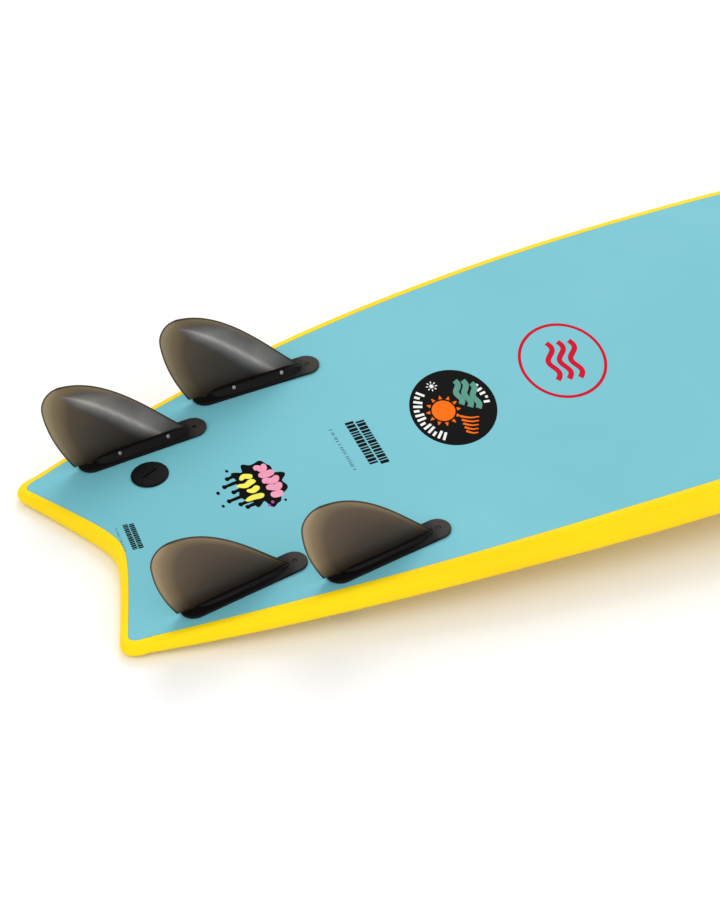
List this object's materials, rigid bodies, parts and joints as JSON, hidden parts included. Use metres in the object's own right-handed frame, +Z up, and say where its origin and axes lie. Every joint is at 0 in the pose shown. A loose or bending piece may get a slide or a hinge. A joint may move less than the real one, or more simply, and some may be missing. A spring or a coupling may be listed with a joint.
{
  "type": "surfboard",
  "caption": "Soft-top swallow-tail surfboard lying deck down, with foam core, slick bottom sheet, leash plug and removable fins.",
  "frame": {"origin": "under the middle of the board, on the surface that it lies on, deck down", "axes": "+X from tail to nose, +Z up out of the blue bottom, +Y to the leash plug's side"},
  "size_m": [1.9834, 0.556, 0.1722],
  "materials": {
    "deck_foam": "matte",
    "bottom_sheet": "satin",
    "core_foam": "matte",
    "stringer_wood": "satin",
    "black_plastic": "satin",
    "fin_blade": "gloss",
    "steel": "satin"
  },
  "bodies": {
    "board": {"deck_skin": "deck_foam", "bottom_skin": "bottom_sheet", "core_left": "core_foam", "core_centre": "core_foam", "core_right": "core_foam", "stringer_left": "stringer_wood", "stringer_right": "stringer_wood", "fin_base_rear_left": "black_plastic", "through_bolt_rear_left_aft": "steel", "deck_washer_rear_left_aft": "black_plastic", "through_bolt_rear_left_fore": "steel", "deck_washer_rear_left_fore": "black_plastic", "fin_base_rear_right": "black_plastic", "through_bolt_rear_right_aft": "steel", "deck_washer_rear_right_aft": "black_plastic", "through_bolt_rear_right_fore": "steel", "deck_washer_rear_right_fore": "black_plastic", "fin_base_front_left": "black_plastic", "through_bolt_front_left_aft": "steel", "deck_washer_front_left_aft": "black_plastic", "through_bolt_front_left_fore": "steel", "deck_washer_front_left_fore": "black_plastic", "fin_base_front_right": "black_plastic", "through_bolt_front_right_aft": "steel", "deck_washer_front_right_aft": "black_plastic", "through_bolt_front_right_fore": "steel", "deck_washer_front_right_fore": "black_plastic", "leash_plug_bolt": "black_plastic", "leash_plug_cup": "black_plastic", "leash_plug_bar": "steel"},
    "fin_rear_left": {"fin_blade_rear_left": "fin_blade"},
    "fin_rear_right": {"fin_blade_rear_right": "fin_blade"},
    "fin_front_left": {"fin_blade_front_left": "fin_blade"},
    "fin_front_right": {"fin_blade_front_right": "fin_blade"},
    "grub_rear_left_aft": {"grub_screw_rear_left_aft": "steel"},
    "grub_rear_left_fore": {"grub_screw_rear_left_fore": "steel"},
    "grub_rear_right_aft": {"grub_screw_rear_right_aft": "steel"},
    "grub_rear_right_fore": {"grub_screw_rear_right_fore": "steel"},
    "grub_front_left_aft": {"grub_screw_front_left_aft": "steel"},
    "grub_front_left_fore": {"grub_screw_front_left_fore": "steel"},
    "grub_front_right_aft": {"grub_screw_front_right_aft": "steel"},
    "grub_front_right_fore": {"grub_screw_front_right_fore": "steel"}
  },
  "joints": [
    {"name": "fin_lift_rear_left", "type": "slide", "parent": "board", "child": "fin_rear_left", "axis": [-0.1295, -0.087, 0.9878], "range_m": [0, 0.03]},
    {"name": "fin_lift_rear_right", "type": "slide", "parent": "board", "child": "fin_rear_right", "axis": [-0.1295, 0.087, 0.9878], "range_m": [0, 0.03]},
    {"name": "fin_lift_front_left", "type": "slide", "parent": "board", "child": "fin_front_left", "axis": [-0.0996, -0.0869, 0.9912], "range_m": [0, 0.03]},
    {"name": "fin_lift_front_right", "type": "slide", "parent": "board", "child": "fin_front_right", "axis": [-0.0996, 0.0869, 0.9912], "range_m": [0, 0.03]},
    {"name": "grub_turn_rear_left_aft", "type": "hinge", "parent": "board", "child": "grub_rear_left_aft", "pos_m": [-0.86552, -0.1459, 0.04388], "axis": [-0.1048, 0.9378, 0.3309], "continuous": true},
    {"name": "grub_turn_rear_left_fore", "type": "hinge", "parent": "board", "child": "grub_rear_left_fore", "pos_m": [-0.80421, -0.14201, 0.05226], "axis": [-0.1048, 0.9378, 0.3309], "continuous": true},
    {"name": "grub_turn_rear_right_aft", "type": "hinge", "parent": "board", "child": "grub_rear_right_aft", "pos_m": [-0.86552, 0.1459, 0.04388], "axis": [-0.1048, -0.9378, 0.3309], "continuous": true},
    {"name": "grub_turn_rear_right_fore", "type": "hinge", "parent": "board", "child": "grub_rear_right_fore", "pos_m": [-0.80421, 0.14201, 0.05226], "axis": [-0.1048, -0.9378, 0.3309], "continuous": true},
    {"name": "grub_turn_front_left_aft", "type": "hinge", "parent": "board", "child": "grub_front_left_aft", "pos_m": [-0.69846, -0.18345, 0.06517], "axis": [-0.1115, 0.9367, 0.332], "continuous": true},
    {"name": "grub_turn_front_left_fore", "type": "hinge", "parent": "board", "child": "grub_front_left_fore", "pos_m": [-0.63702, -0.17847, 0.07177], "axis": [-0.1115, 0.9367, 0.332], "continuous": true},
    {"name": "grub_turn_front_right_aft", "type": "hinge", "parent": "board", "child": "grub_front_right_aft", "pos_m": [-0.69846, 0.18345, 0.06517], "axis": [-0.1115, -0.9367, 0.332], "continuous": true},
    {"name": "grub_turn_front_right_fore", "type": "hinge", "parent": "board", "child": "grub_front_right_fore", "pos_m": [-0.63702, 0.17847, 0.07177], "axis": [-0.1115, -0.9367, 0.332], "continuous": true}
  ]
}
